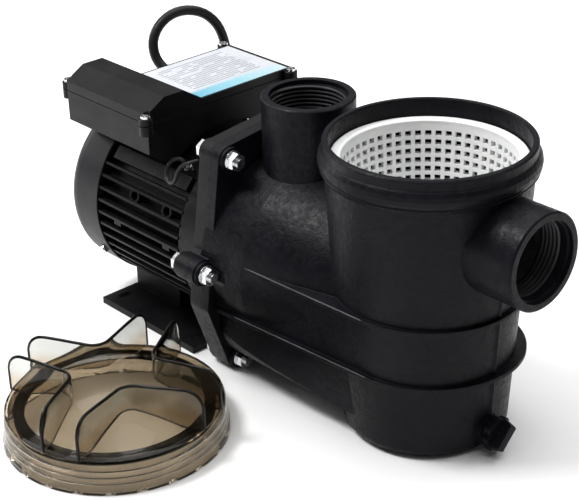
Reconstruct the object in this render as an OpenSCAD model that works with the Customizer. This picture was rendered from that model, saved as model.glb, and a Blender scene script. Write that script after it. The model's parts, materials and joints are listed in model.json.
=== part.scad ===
// Self-priming pool pump with an open strainer pot; its clear lid lies on the floor beside it.
// Millimetres. Origin: centre of the motor foot's bolt pattern, on the floor.
// +X runs along the shaft to the suction port, +Z is up.

/* [Layout] */
// Height of the shaft axis above the floor
shaft_z = 100; // [99:0.5:101]
// Distance from the foot's centre to the strainer pot's axis
pot_x = 263; // [261:1:265]
// Distance from the foot's centre to the discharge port's axis
discharge_x = 136; // [135:1:138]
// Height of the discharge port's top
discharge_top = 234; // [230:1:238]
// Height of the suction port's axis
suction_z = 174; // [172:1:176]
// Distance from the foot's centre to the suction port's face
suction_face = 372; // [368:1:376]

/* [Ports] */
// Radius of a port's threaded wall, 2 inch pipe
port_bore_r = 29.5; // [29:0.1:30]
// Outer radius of a port's collar
port_r = 37; // [36:0.5:38]
// Depth of a port's thread
port_depth = 26; // [24:1:28]

/* [Strainer pot] */
// Height of the pot's rim
pot_h = 236; // [234:1:238]
// Outer radius of the pot's rim
pot_rim_r = 78; // [78:0.5:78.5]
// Outer radius of the bead under the rim
pot_bead_r = 81.3; // [81:0.1:81.6]
// Outer radius of the pot under its bead
pot_top_r = 76.5; // [76:0.1:77]
// Outer radius of the pot near the floor
pot_foot_r = 64; // [63:0.5:65]
// Thickness of the pot's wall
pot_wall = 5; // [4.5:0.1:5.5]
// Inner radius of the rim
pot_mouth_r = 73.2; // [73:0.1:73.4]
// Height of the ledge that the basket hangs on
ledge_z = 219; // [218:0.5:220]

/* [Basket] */
// Depth of the strainer basket
basket_depth = 132; // [120:1:135]
// Thickness of the basket's wall
basket_wall = 2; // [1.8:0.1:2.4]

/* [Volute] */
// Outer radius of the volute's drum
drum_r = 83; // [82.5:0.5:84]
// Thickness of the drum's wall
drum_wall = 6; // [5:0.5:7]
// Distance of the side ribs' edges from the centre plane, at the flange
rib_y = 82; // [81:0.5:83]
// Thickness of the ribs
rib_t = 3; // [2.5:0.1:3.5]
// Height of the upper rib
rib_high = 113; // [112:0.5:115]
// Height of the lower rib
rib_low = 64; // [62:0.5:66]

/* [Flanges] */
// Distance from the foot's centre to the joint between pump and bracket
joint_x = 95; // [95:0.1:95.5]
// Thickness of each flange
flange_t = 11; // [10:0.5:12]
// Radius of the flange's rounded lugs
lug_r = 11; // [10.5:0.5:11.5]
// Height that a lug's boss stands off the flange
boss_t = 3; // [2.5:0.5:3.5]
// Distance of the middle bolts from the centre plane
bolt_mid_y = 89; // [88:0.5:90]
// Distance of the upper and lower bolts from the centre plane
bolt_end_y = 57; // [56:0.5:58]
// Distance of the upper and lower bolts from the shaft's height
bolt_end_z = 88; // [87:0.5:88]

/* [Motor] */
// Front end of the motor frame
frame_front = 62; // [61.5:0.5:62.5]
// Rear end of the motor frame
frame_rear = -46; // [-46.5:0.5:-45.5]
// Radius of the frame's bore
frame_bore_r = 62; // [61.8:0.1:62.2]
// Radius of the frame between its fins
frame_r = 70; // [69:0.5:71]
// Radius over the fins' tips
fin_r = 79; // [78.5:0.1:79]
// Angle from one fin to the next
fin_step = 8; // [8:1:9]
// Thickness of a fin
fin_t = 2.2; // [1.8:0.1:2.6]
// Radius of the fan cover
cover_r = 80; // [79.5:0.5:80]
// Rear end of the fan cover
cover_rear = -89; // [-90:0.5:-88.5]
// Radius of the shaft
shaft_r = 8.5; // [8.5:0.1:8.5]

/* [Foot] */
// Length of the foot's plate along the shaft
foot_l = 126; // [120:1:130]
// Width of the foot's plate across the shaft
foot_w = 140; // [138:1:150]
// Thickness of the foot's plate
foot_t = 6; // [5:0.5:8]
// Distance between the foot's slots along the shaft
slot_dx = 104; // [100:1:106]
// Distance between the foot's slots across the shaft
slot_dy = 108; // [104:1:110]
// Width of a slot
slot_w = 7; // [6:0.5:8]
// Length of a slot over its round ends
slot_l = 14; // [12:1:16]
// Height of the pedestal's top
pedestal_z = 24; // [23.5:0.5:24.5]

/* [Terminal box] */
// Height of the joint between the box and its cover
box_split = 201; // [200.5:0.5:201.5]
// Height of the box's front face bottom edge
box_low = 175; // [174:0.5:176]
// Distance of the box's sides from the centre plane
box_y = 78; // [77.5:0.5:78.5]
// Front face of the box
box_front = 32; // [31.5:0.5:32.5]
// Rear face of the box's capacitor bay
box_rear = -77; // [-77.5:0.5:-76.5]
// Rear face of the box's flat part
flat_rear = -49; // [-49.5:0.5:-48.5]
// Side of the capacitor bay, from the centre plane
bay_y = -22; // [-22.5:0.5:-21.5]
// Thickness of the box's walls
box_wall = 2.5; // [2.2:0.1:2.8]

/* [Lid] */
// Place of the lid's axis along the shaft
lid_x = 109.3; // [108:0.1:111]
// Place of the lid's axis across the shaft
lid_y = -184.8; // [-188:0.1:-184]
// Outer radius of the lid's skirt at its open end
lid_r = 88; // [87.5:0.1:88]
// Height of the lid's rim
lid_rim = 28; // [27:0.5:29]
// Height of the clear dome's middle
lid_dome = 41; // [40:0.5:42]
// Height of the grip walls' tops
lid_crown = 61; // [59:0.5:62]
// Thickness of the lid's grip walls
grip_t = 3; // [2.5:0.1:3.5]
// Distance from the lid's axis to a grip wall's bend
grip_near = 34; // [33:0.5:35]
// Radius of a grip wall's bend
grip_bend = 13; // [12:0.5:14]
// Turn of the grip walls about the lid's axis
grip_turn = -20; // [-22:1:-18]

/* [Cord] */
// Diameter of the power cord
cord_d = 9; // [9:0.1:9]
// Radius of the coil at the middle of its turns
coil_r = 50; // [50:0.5:50]

/* [Hidden] */
$fn = 64;
round_fn = 96;
eps = 0.01;

lid_bore = 83;
lid_plate = 3.4;
dome_edge = 69;
dome_r = (dome_edge * dome_edge + pow(lid_dome - lid_rim, 2)) / (2 * (lid_dome - lid_rim));
grip_lean = 51.2;
grip_arm = 52;

bolt_r = 4;
bolt_spots = [
    [bolt_mid_y, 0], [-bolt_mid_y, 0],
    [bolt_end_y, bolt_end_z], [-bolt_end_y, bolt_end_z],
    [bolt_end_y, -bolt_end_z], [-bolt_end_y, -bolt_end_z]
];
flange_top = 94;
flange_bottom = 87;
washer_t = 1.6;
head_t = 5.3;
nut_t = 6.5;
pump_face = joint_x + flange_t;
bracket_face = joint_x - flange_t;

eye_r = 22;
drum_end = 186;
chamber_r = drum_r - drum_wall;
impeller_x = 122;
impeller_r = 60;

drain_z = 17;
drain_face = pot_x + 67;
drain_r = 8;

air_gap = 0.5;
rotor_r = 38;
stack_front = 38;
stack_rear = -26;
bearing_t = 12;
bearing_r = 20;
front_bearing_x = 64;
rear_bearing_x = -56;
ball_circle = 14.25;
ball_r = 3;
ball_count = 8;
seat_r = fin_r + 1.2;
tie_circle = frame_bore_r - 3;
cover_screw_x = -59;
cover_screw_turns = [-56, 56, 180];

pedestal_y = 33;

cap_y = -50;
cap_z = 191;
cap_r = 18;
cap_l = 72;
ear_r = 5.5;
ear_spots = [[-81, -73], [31, -79], [-54, 75], [36, 73]];

gland_y = 38;
gland_z = 182;
gland_tip = flat_rear - 20;

coil_x = 42;
coil_y = 168;
coil_h = 2 * cord_d;

// The cord's route, by hand: out of the gland, over a free loop, down to the floor, to the coil.
cord_route = [
    [-68, 38, 182], [-78, 37, 183], [-88, 34, 187], [-97, 32, 196], [-102, 34, 209],
    [-103, 42, 221], [-101, 55, 229], [-98, 71, 230], [-94, 87, 224], [-90, 98, 212],
    [-88, 104, 196], [-87, 106, 178], [-87, 107, 150], [-87, 108, 120], [-87, 109, 90],
    [-86, 110, 60], [-83, 111, 38], [-76, 112, 20], [-63, 113, 8], [-46, 113.5, 4.6],
    [-25, 113.5, 4.6], [0, 113.5, 4.6], [20, 113.5, 4.6], [42, 113.5, 4.6]
];
// From the coil's upper layer down to the plug.
tail_route = [
    [42, 113.5, 13.6], [54, 113.5, 12.8], [66, 113.6, 11], [78, 114, 9.2], [90, 114.6, 8],
    [102, 115.4, 7.6], [112, 116, 7.5]
];
plug_at = [112, 116, 7.5];

// ---------- shared helpers ----------

// Puts children, drawn along +Z, on a line along +X at the shaft's height.
module on_shaft(x) {
    translate([x, 0, shaft_z]) rotate([0, 90, 0]) children();
}

module tube(r_out, r_in, h) {
    difference() {
        cylinder(r = r_out, h = h, $fn = round_fn);
        translate([0, 0, -1]) cylinder(r = r_in, h = h + 2, $fn = round_fn);
    }
}

module ring_round(r_mid, r_wire) {
    rotate_extrude($fn = round_fn) translate([r_mid, 0]) circle(r = r_wire, $fn = 24);
}

module at_bolts(x) {
    for (p = bolt_spots)
        translate([x, p[0], shaft_z + p[1]]) rotate([0, 90, 0]) children();
}

module hexagon(across, h) {
    cylinder(d = across / cos(30), h = h, $fn = 6);
}

// A pan head screw along +Z from its head's top down: head, then shank.
module pan_screw(head_r, head_h, shank_r, shank_l) {
    difference() {
        union() {
            translate([0, 0, -head_h]) cylinder(r = head_r, h = head_h);
            translate([0, 0, -head_h - shank_l]) cylinder(r = shank_r, h = shank_l + eps);
        }
        for (a = [0, 90])
            rotate([0, 0, a]) translate([-head_r * 0.6, -head_r * 0.13, -head_h * 0.5])
                cube([head_r * 1.2, head_r * 0.26, head_h]);
    }
}

// Sweeps an n-sided tube along a list of points.
function unit(v) = v / norm(v);
function course(p, i) = unit(p[min(i + 1, len(p) - 1)] - p[max(i - 1, 0)]);
function side_of(t) = unit(cross(t, abs(t[2]) > 0.9 ? [0, 1, 0] : [0, 0, 1]));
function carried(s, t) = unit(s - (s * t) * t);
function frames(p, i = 0, s = undef) =
    i == len(p) ? [] :
    let (t = course(p, i), k = s == undef ? side_of(t) : carried(s, t))
    concat([[t, k]], frames(p, i + 1, k));
module sweep(p, r, n) {
    f = frames(p);
    ring = [for (i = [0 : len(p) - 1], j = [0 : n - 1])
        let (a = 360 * j / n, b = cross(f[i][0], f[i][1]))
        p[i] + r * (cos(a) * f[i][1] + sin(a) * b)];
    sides = [for (i = [0 : len(p) - 2], j = [0 : n - 1])
        [i * n + j, i * n + (j + 1) % n, (i + 1) * n + (j + 1) % n, (i + 1) * n + j]];
    first = [for (j = [n - 1 : -1 : 0]) j];
    last = [for (j = [0 : n - 1]) (len(p) - 1) * n + j];
    polyhedron(points = ring, faces = concat([first], sides, [last]), convexity = 6);
}

// ---------- wet end ----------

module flange_outline() {
    hull() {
        for (s = [-1, 1], c = [[bolt_end_y, bolt_end_z], [bolt_end_y, -bolt_end_z], [65, 30], [75, -35]])
            translate([s * c[0], c[1]]) circle(r = lug_r, $fn = 32);
        translate([0, flange_top]) circle(r = lug_r, $fn = 32);
        translate([0, -flange_bottom]) circle(r = lug_r, $fn = 32);
    }
    for (s = [-1, 1]) {
        translate([s * bolt_mid_y, 0]) circle(r = lug_r, $fn = 32);
        polygon([
            [s * 60, 26], [s * (bolt_mid_y - 5), lug_r - 2],
            [s * (bolt_mid_y - 5), 2 - lug_r], [s * 60, -26]
        ]);
    }
}

// A flat plate of the flange's outline from x on along +X.
module flange_plate(x, t) {
    translate([x, 0, shaft_z]) rotate([90, 0, 90]) linear_extrude(t) flange_outline();
}

module bolt_bosses(x, h) {
    at_bolts(x) cylinder(r = lug_r - 1, h = h);
}

module bolt_holes() {
    at_bolts(joint_x - 40) cylinder(r = bolt_r + 0.3, h = 80);
}

module pot_outside() {
    shoulder = pot_h - 22;
    rotate_extrude($fn = round_fn) polygon(concat(
        [[0, 0], [pot_foot_r - 10, 0]],
        [for (a = [-75 : 15 : 0]) [pot_foot_r - 10 + 10 * cos(a), 10 + 10 * sin(a)]],
        [[pot_top_r, shoulder - 4], [pot_bead_r - 1.5, shoulder]],
        [for (a = [-60 : 30 : 60]) [pot_bead_r - 4 + 4 * cos(a), pot_h - 15 + 7 * sin(a)]],
        [[pot_rim_r, pot_h - 7.5], [pot_rim_r, pot_h - 1.2], [pot_rim_r - 1.2, pot_h], [0, pot_h]]
    ));
}

module pot_inside() {
    low = 14;
    rotate_extrude($fn = round_fn) polygon([
        [0, low], [pot_foot_r - pot_wall - 8, low], [pot_foot_r - pot_wall - 2.5, low + 3],
        [pot_foot_r - pot_wall, low + 9], [pot_top_r - pot_wall - 1, ledge_z],
        [pot_mouth_r, ledge_z], [pot_mouth_r, pot_h - 1], [pot_mouth_r + 1, pot_h + 1], [0, pot_h + 1]
    ]);
}

// The hollow that surrounds the impeller, with a rounded far shoulder.
module chamber(r, x0, x1, round) {
    on_shaft(x0) rotate_extrude($fn = round_fn) polygon(concat(
        [[0, 0], [r, 0]],
        [for (a = [0 : 15 : 90]) [r - round + round * cos(a), x1 - x0 - round + round * sin(a)]],
        [[0, x1 - x0]]
    ));
}

// The drum's outside, which narrows as it runs into the pot.
module drum_outside() {
    l = pot_x - joint_x - 1;
    on_shaft(joint_x + 1) rotate_extrude($fn = round_fn) polygon([
        [0, 0], [drum_r, 0], [drum_r - 1, l * 0.28], [drum_r - 4, l * 0.42], [drum_r - 8.5, l * 0.56],
        [drum_r - 14, l * 0.7], [drum_r - 20, l * 0.84], [drum_r - 31, l], [0, l]
    ]);
}

// The round-cornered lower half, which narrows towards the pot.
module belly() {
    low = 13;
    round = 34;
    top = rib_low + rib_t / 2;
    intersection() {
        translate([joint_x + 1, 0, 0]) rotate([90, 0, 90]) linear_extrude(pot_x - joint_x - 1) polygon(concat(
            [[75, top], [-75, top]],
            [for (a = [180 : 9 : 270]) [-41 + round * cos(a), low + round + round * sin(a)]],
            [for (a = [270 : 9 : 360]) [41 + round * cos(a), low + round + round * sin(a)]]
        ));
        linear_extrude(200) polygon([[joint_x, -76], [pot_x, -62], [pot_x, 62], [joint_x, 76]]);
    }
}

// The upright side walls between the two ribs.
module side_walls() {
    reach = pot_x - joint_x - 2;
    y = rib_y - 3;
    r = 66.5;
    touch = 180 - atan2(y, reach) - acos(r / norm([reach, y]));
    translate([0, 0, rib_low + 1]) linear_extrude(rib_high - rib_low) polygon([
        [joint_x + 2, -y], [pot_x + r * cos(touch), -r * sin(touch)],
        [pot_x + r * cos(touch), r * sin(touch)], [joint_x + 2, y]
    ]);
}

// A thin rib that runs straight from the flange and on round the pot, wider by bulge on its far side.
module side_rib(z, r_pot, bulge) {
    reach = pot_x - joint_x - 2;
    touch = 180 - atan2(rib_y, reach) - acos(r_pot / norm([reach, rib_y]));
    steps = 40;
    translate([0, 0, z]) linear_extrude(rib_t) polygon(concat(
        [[joint_x + 2, rib_y], [joint_x + 2, -rib_y]],
        [for (i = [0 : steps])
            let (a = touch * (2 * i / steps - 1), r = r_pot + bulge * pow(max(0, cos(a - 45)), 2))
            [pot_x + r * cos(a), r * sin(a)]]
    ));
}

module port_collar(h) {
    rotate_extrude($fn = round_fn) polygon([
        [0, 0], [port_r + 1, 0], [port_r, 6], [port_r, h - 1.2], [port_r - 1.2, h], [0, h]
    ]);
}

// The hollow of a port, along +Z with its mouth at z = 0.
module port_hollow(deep) {
    translate([0, 0, -port_depth]) cylinder(r = port_bore_r, h = port_depth + 1, $fn = round_fn);
    translate([0, 0, -4]) cylinder(r = port_bore_r + 1.3, h = 5, $fn = round_fn);
    translate([0, 0, -deep]) cylinder(r = port_bore_r - 4, h = deep, $fn = round_fn);
}

module pump_body() {
    color([0.13, 0.13, 0.14]) difference() {
        union() {
            translate([pot_x, 0, 0]) pot_outside();
            drum_outside();
            belly();
            side_walls();
            side_rib(rib_high, 74, 0);
            side_rib(rib_low, 71, 5);
            flange_plate(joint_x, flange_t);
            bolt_bosses(pump_face - eps, boss_t);
            translate([discharge_x, 0, 150]) port_collar(discharge_top - 150);
            translate([pot_x + 50, 0, suction_z]) rotate([0, 90, 0])
                port_collar(suction_face - pot_x - 50);
            translate([pot_x + 50, 0, drain_z]) rotate([0, 90, 0])
                cylinder(r = 12, h = drain_face - pot_x - 50);
        }
        translate([pot_x, 0, 0]) pot_inside();
        chamber(chamber_r, joint_x - 1, drum_end - 14, 18);
        on_shaft(drum_end - 20) cylinder(r = eye_r, h = 50, $fn = round_fn);
        bolt_holes();
        at_bolts(pump_face + boss_t) cylinder(r = 8.8, h = washer_t + nut_t + 8);
        on_shaft(joint_x - 1) cylinder(r = chamber_r + 4, h = 5, $fn = round_fn);
        translate([discharge_x, 0, discharge_top]) port_hollow(80);
        translate([suction_face, 0, suction_z]) rotate([0, 90, 0]) port_hollow(60);
        translate([pot_x + 45, 0, drain_z]) rotate([0, 90, 0]) cylinder(r = drain_r + 0.4, h = 40);
    }
}

module diffuser() {
    x0 = joint_x + 5;
    x1 = drum_end - 18;
    color([0.2, 0.2, 0.22]) union() {
        on_shaft(x0) difference() {
            cylinder(r = impeller_r + 9, h = x1 - x0, $fn = round_fn);
            translate([0, 0, 3]) cylinder(r = impeller_r + 6, h = x1 - x0 - 7, $fn = round_fn);
            translate([0, 0, -1]) cylinder(r = impeller_r + 2, h = 6, $fn = round_fn);
            translate([0, 0, 8]) cylinder(r = eye_r - 3, h = x1 - x0, $fn = round_fn);
            for (a = [0 : 45 : 315]) rotate([0, 0, a])
                translate([impeller_r - 4, -5, 8]) cube([20, 10, 18]);
        }
        on_shaft(x1 - eps) tube(eye_r - 0.2, eye_r - 3, 14);
    }
}

module impeller() {
    x0 = impeller_x;
    color([0.75, 0.74, 0.7]) on_shaft(x0) {
        difference() {
            union() {
                cylinder(r = impeller_r, h = 3, $fn = round_fn);
                translate([0, 0, 13]) cylinder(r = impeller_r, h = 3, $fn = round_fn);
                translate([0, 0, 16 - eps]) cylinder(r = eye_r - 4, h = 10, $fn = round_fn);
                cylinder(r = 13, h = 16);
                intersection() {
                    cylinder(r = impeller_r, h = 15, $fn = round_fn);
                    for (a = [0 : 60 : 300]) rotate([0, 0, a])
                        translate([2, 34, 0]) tube(34, 31.5, 14);
                }
            }
            translate([0, 0, 12.5]) cylinder(r = eye_r - 6, h = 20, $fn = round_fn);
            translate([0, 0, -1]) cylinder(r = shaft_r - 2.5, h = 12);
        }
    }
}

module motor_bracket() {
    hub_r = 30;
    color([0.12, 0.12, 0.13]) difference() {
        union() {
            flange_plate(bracket_face, flange_t);
            bolt_bosses(bracket_face - boss_t, boss_t + eps);
            on_shaft(frame_front) cylinder(r = fin_r - 1, h = bracket_face - frame_front + 1, $fn = round_fn);
            on_shaft(joint_x - eps) cylinder(r = chamber_r + 3.8, h = 1.2, $fn = round_fn);
        }
        bolt_holes();
        difference() {
            on_shaft(frame_front - 1)
                cylinder(r = fin_r - 8, h = bracket_face - frame_front - 3, $fn = round_fn);
            on_shaft(frame_front - 2) cylinder(r = hub_r, h = 40);
            for (a = [45 : 90 : 315]) on_shaft(frame_front - 2) rotate([0, 0, a])
                translate([tie_circle, 0, 0]) cylinder(r = 6, h = 40);
        }
        on_shaft(frame_front - 1)
            cylinder(r = bearing_r, h = front_bearing_x + bearing_t + 1.5 - frame_front);
        on_shaft(frame_front) cylinder(r = shaft_r + 1.5, h = 60);
        on_shaft(joint_x - 9) cylinder(r = 16, h = 20);
        for (a = [45 : 90 : 315]) on_shaft(frame_front - 1) rotate([0, 0, a])
            translate([tie_circle, 0, 0]) cylinder(r = 2, h = 12);
    }
}

module body_oring() {
    color([0.05, 0.05, 0.05]) on_shaft(joint_x + 2.6) ring_round(chamber_r + 1.8, 1.5);
}

module seal_seat() {
    color([0.9, 0.88, 0.82]) on_shaft(joint_x - 9) tube(16, shaft_r + 1.5, 9);
}

module seal_head() {
    color([0.18, 0.18, 0.2]) on_shaft(joint_x + 0.4) tube(13.5, shaft_r - 2.2, 7);
}

module seal_spring() {
    turns = 5;
    pitch = 2.8;
    color([0.75, 0.76, 0.78]) for (i = [0 : turns - 1])
        on_shaft(joint_x + 9 + i * pitch) ring_round(11, 1);
}

module strainer_basket() {
    top_r = pot_top_r - pot_wall - 3;
    low_r = top_r - 8;
    z0 = ledge_z + 0.3;
    color([0.95, 0.95, 0.94]) translate([pot_x, 0, 0]) rotate_extrude($fn = round_fn) polygon([
        [0, z0 - basket_depth], [low_r, z0 - basket_depth], [top_r, z0], [pot_mouth_r - 0.8, z0],
        [pot_mouth_r - 0.8, z0 + 3], [top_r - basket_wall, z0 + 3],
        [low_r - basket_wall, z0 - basket_depth + basket_wall], [0, z0 - basket_depth + basket_wall]
    ]);
}

// ---------- lid ----------

// Height of a dome that is drop below the lid's outer surface, at radius r.
function dome_z(r, drop) = lid_dome - drop - dome_r + sqrt(dome_r * dome_r - r * r);

// One bent grip wall: a round bend near the lid's axis with an arm each side.
module grip_wall_outline() {
    out = 90 + grip_lean;
    turn = (360 - 2 * out) / 8;
    reach = grip_arm * [cos(grip_lean), sin(grip_lean)];
    near = grip_bend + grip_t / 2;
    far = grip_bend - grip_t / 2;
    translate([grip_near + grip_bend, 0]) polygon(concat(
        [near * [cos(out), sin(out)] + reach],
        [for (a = [out : turn : 361 - out]) near * [cos(a), sin(a)]],
        [near * [cos(out), -sin(out)] + [reach[0], -reach[1]]],
        [far * [cos(out), -sin(out)] + [reach[0], -reach[1]]],
        [for (a = [360 - out : -turn : out - 1]) far * [cos(a), sin(a)]],
        [far * [cos(out), sin(out)] + reach]
    ));
}

// Limits the grip walls: from inside the dome's thickness up to their rounded outer corners.
module grip_envelope() {
    rotate_extrude($fn = round_fn) polygon(concat(
        [for (r = [0 : 23 : dome_edge]) [r, dome_z(r, lid_plate / 2)]],
        [[82.5, lid_rim - 2], [84.5, lid_rim], [84.5, lid_crown - 13], [83.4, lid_crown - 7.5],
            [80.5, lid_crown - 3], [76, lid_crown - 0.6], [68, lid_crown], [50, lid_crown - 1],
            [30, lid_crown - 2], [0, lid_crown - 2]]
    ));
}

module lid() {
    color([0.55, 0.48, 0.38, 0.5]) translate([lid_x, lid_y, 0]) {
        rotate_extrude($fn = round_fn) polygon(concat(
            [[lid_bore, 0], [lid_r, 0], [lid_r, 5], [lid_r - 2.7, lid_rim - 3], [lid_r - 5, lid_rim]],
            [for (r = [dome_edge : -11.5 : 0]) [r, dome_z(r, 0)]],
            [for (r = [0 : 11.5 : dome_edge]) [r, dome_z(r, lid_plate)]],
            [[lid_bore, lid_rim - lid_plate]]
        ));
        intersection() {
            translate([0, 0, lid_rim - 4]) linear_extrude(60)
                for (a = [0 : 90 : 270]) rotate([0, 0, a + grip_turn]) grip_wall_outline();
            grip_envelope();
        }
    }
}

module lid_seal() {
    color([0.04, 0.04, 0.04]) translate([lid_x, lid_y, lid_rim - lid_plate - 4.3])
        tube(pot_rim_r, dome_edge + 0.5, 4);
}

// ---------- drain plug ----------

// The knob has eight shallow lobes and a thick slanting bar to turn it by.
module drain_plug() {
    color([0.1, 0.1, 0.1]) translate([drain_face, 0, drain_z]) rotate([0, 90, 0]) {
        translate([0, 0, -10]) cylinder(r = drain_r, h = 10 + eps);
        cylinder(r = drain_r, h = 3);
        translate([0, 0, 2.6]) linear_extrude(5.4)
            polygon([for (a = [0 : 5 : 355]) (13 + cos(8 * a)) * [cos(a), sin(a)]]);
        intersection() {
            rotate([0, 0, -45]) translate([-15, -4, 7]) cube([30, 8, 9]);
            cylinder(r1 = 14.6, r2 = 10.6, h = 16.5);
        }
    }
}

module drain_plug_oring() {
    color([0.05, 0.05, 0.05]) translate([drain_face + 1.3, 0, drain_z]) rotate([0, 90, 0])
        ring_round(drain_r + 1.6, 1.2);
}

// ---------- motor ----------

module motor_frame() {
    l = frame_front - frame_rear;
    color([0.1, 0.1, 0.11]) difference() {
        union() {
            on_shaft(frame_rear) cylinder(r = frame_r, h = l, $fn = round_fn);
            for (side = [-1, 1], i = [-8 : 4])
                translate([frame_rear, 0, shaft_z]) rotate([side * i * fin_step, 0, 0])
                    translate([0, side > 0 ? frame_r - 3 : -fin_r, -fin_t / 2])
                        cube([l, fin_r - frame_r + 3, fin_t]);
            for (side = [-1, 1]) translate([frame_rear + 8, 0, shaft_z]) rotate([side * 41, 0, 0])
                translate([0, side > 0 ? frame_r - 3 : -fin_r - 0.5, -6])
                    cube([l - 12, fin_r - frame_r + 3.5, 12]);
            for (side = [-1, 1], x = [-1.6, 41]) translate([x, 0, shaft_z]) rotate([side * 20, 0, 0])
                translate([0, side * 66, 0]) rotate([-side * 90, 0, 0]) tube(6.2, 4.2, 10.5);
            for (side = [-1, 1], x = [-24, 41]) translate([x, 0, shaft_z]) rotate([-side * 1.5, 0, 0])
                translate([0, side > 0 ? frame_r - 2 : -fin_r + 0.5, -3]) cube([9, fin_r - frame_r + 1.5, 6]);
            intersection() {
                on_shaft(frame_rear) cylinder(r = seat_r, h = l, $fn = round_fn);
                translate([-36, -26, shaft_z + 40]) cube([62, 52, 60]);
            }
            translate([frame_rear, -pedestal_y, pedestal_z]) cube([46, 2 * pedestal_y, 30]);
            translate([-1, -24, pedestal_z]) cube([46, 48, 30]);
        }
        on_shaft(frame_rear - 1) cylinder(r = frame_bore_r, h = l + 2, $fn = round_fn);
        at_foot_screws(pedestal_z - 1) cylinder(r = 3, h = 8);
        translate([46, 0, shaft_z]) rotate([-50, 0, 0]) translate([0, -fin_r, 0]) rotate([90, 0, 0])
            translate([0, 0, -10]) cylinder(r = 2.1, h = 20);
    }
}

module stator_core() {
    color([0.6, 0.6, 0.62]) on_shaft(stack_rear) difference() {
        cylinder(r = frame_bore_r, h = stack_front - stack_rear, $fn = round_fn);
        translate([0, 0, -1])
            cylinder(r = rotor_r + air_gap, h = stack_front - stack_rear + 2, $fn = round_fn);
        for (a = [45 : 90 : 315]) rotate([0, 0, a])
            translate([tie_circle, 0, -1]) cylinder(r = 2.6, h = 80);
    }
}

module stator_windings() {
    color([0.72, 0.42, 0.2]) {
        on_shaft(stack_front) tube(56, rotor_r + 4, 14);
        on_shaft(stack_rear - 14) tube(56, rotor_r + 4, 14);
    }
}

module rotor_core() {
    color([0.55, 0.55, 0.57]) on_shaft(stack_rear) tube(rotor_r, shaft_r, stack_front - stack_rear);
}

module rotor_end_rings() {
    color([0.8, 0.8, 0.82]) {
        on_shaft(stack_front) tube(rotor_r - 1, 20, 8);
        on_shaft(stack_rear - 8) tube(rotor_r - 1, 20, 8);
    }
}

module shaft() {
    color([0.7, 0.7, 0.72]) {
        on_shaft(-77) cylinder(r = 6, h = 1.7);
        on_shaft(-75.3 - eps) cylinder(r = 5, h = 1.3 + 2 * eps);
        on_shaft(-74) cylinder(r = 6, h = 16 + eps);
        on_shaft(-58) cylinder(r = shaft_r - 1, h = 14 + eps);
        on_shaft(-44) cylinder(r = shaft_r, h = joint_x + 44 - 7);
        on_shaft(joint_x - 7 - eps) cylinder(r = shaft_r - 2.5, h = impeller_x - joint_x + 17);
    }
}

module shaft_slinger() {
    color([0.06, 0.06, 0.06]) on_shaft(front_bearing_x + bearing_t + 1) tube(9.6, shaft_r, 1.6);
}

module bearing_race(x, r_out, r_in, groove_r) {
    on_shaft(x) rotate_extrude($fn = round_fn) difference() {
        translate([r_in, 0]) square([r_out - r_in, bearing_t]);
        translate([ball_circle, bearing_t / 2]) circle(r = groove_r, $fn = 32);
    }
}

// Balls with the cage ring that spaces them.
module ball_set(x, circle_r) {
    on_shaft(x + bearing_t / 2) {
        for (i = [0 : ball_count - 1]) rotate([0, 0, i * 360 / ball_count])
            translate([circle_r, 0, 0]) sphere(r = ball_r, $fn = 32);
        translate([0, 0, -1]) tube(circle_r + 0.9, circle_r - 0.9, 2);
    }
}

module front_bearing_outer() {
    color("silver") bearing_race(front_bearing_x, bearing_r, 16.3, ball_r + 0.1);
}

module front_bearing_inner() {
    color("silver") bearing_race(front_bearing_x, 12.2, shaft_r, ball_r + 0.1);
}

module front_bearing_balls() {
    color([0.85, 0.85, 0.88]) ball_set(front_bearing_x, ball_circle);
}

module rear_bearing_outer() {
    color("silver") bearing_race(rear_bearing_x, bearing_r, 16.3, ball_r + 0.1);
}

module rear_bearing_inner() {
    color("silver") bearing_race(rear_bearing_x, 12.2, shaft_r - 1, ball_r + 0.1);
}

module rear_bearing_balls() {
    color([0.85, 0.85, 0.88]) ball_set(rear_bearing_x, ball_circle);
}

module wave_washer() {
    color([0.65, 0.66, 0.7]) on_shaft(rear_bearing_x - 1) tube(bearing_r - 1, 15, 1);
}

module rear_bracket() {
    color([0.11, 0.11, 0.12]) difference() {
        union() {
            on_shaft(frame_rear - 5) cylinder(r = fin_r - 2.4, h = 5, $fn = round_fn);
            on_shaft(cover_screw_x - 5) tube(fin_r - 2.4, fin_r - 8, frame_rear - cover_screw_x);
            on_shaft(rear_bearing_x - 4) cylinder(r = bearing_r + 4, h = frame_rear - rear_bearing_x + 4);
        }
        on_shaft(rear_bearing_x - 1) cylinder(r = bearing_r, h = 30);
        on_shaft(-80) cylinder(r = shaft_r + 0.5, h = 40);
        for (a = [45 : 90 : 315]) on_shaft(frame_rear - 6) rotate([0, 0, a])
            translate([tie_circle, 0, 0]) cylinder(r = 2.3, h = 8);
        for (a = cover_screw_turns) on_shaft(cover_screw_x) rotate([0, 0, a]) translate([fin_r - 12, 0, 0])
            rotate([0, 90, 0]) cylinder(r = 1.5, h = 20);
    }
}

module tie_bolts() {
    color("silver") for (a = [45 : 90 : 315]) on_shaft(frame_rear - 5) rotate([0, 0, a])
        translate([tie_circle, 0, 0]) {
            translate([0, 0, -3.2]) hexagon(8, 3.2);
            translate([0, 0, -eps]) cylinder(r = 2, h = frame_front - frame_rear + 12);
        }
}

module fan() {
    color([0.15, 0.15, 0.16]) on_shaft(-74) difference() {
        union() {
            cylinder(r = 14, h = 11);
            translate([0, 0, 8]) cylinder(r = 66, h = 2.4, $fn = round_fn);
            for (a = [0 : 40 : 320]) rotate([0, 0, a]) translate([12, -1.2, 0]) cube([56, 2.4, 9]);
        }
        translate([0, 0, -1]) cylinder(r = 6, h = 14);
    }
}

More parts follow.
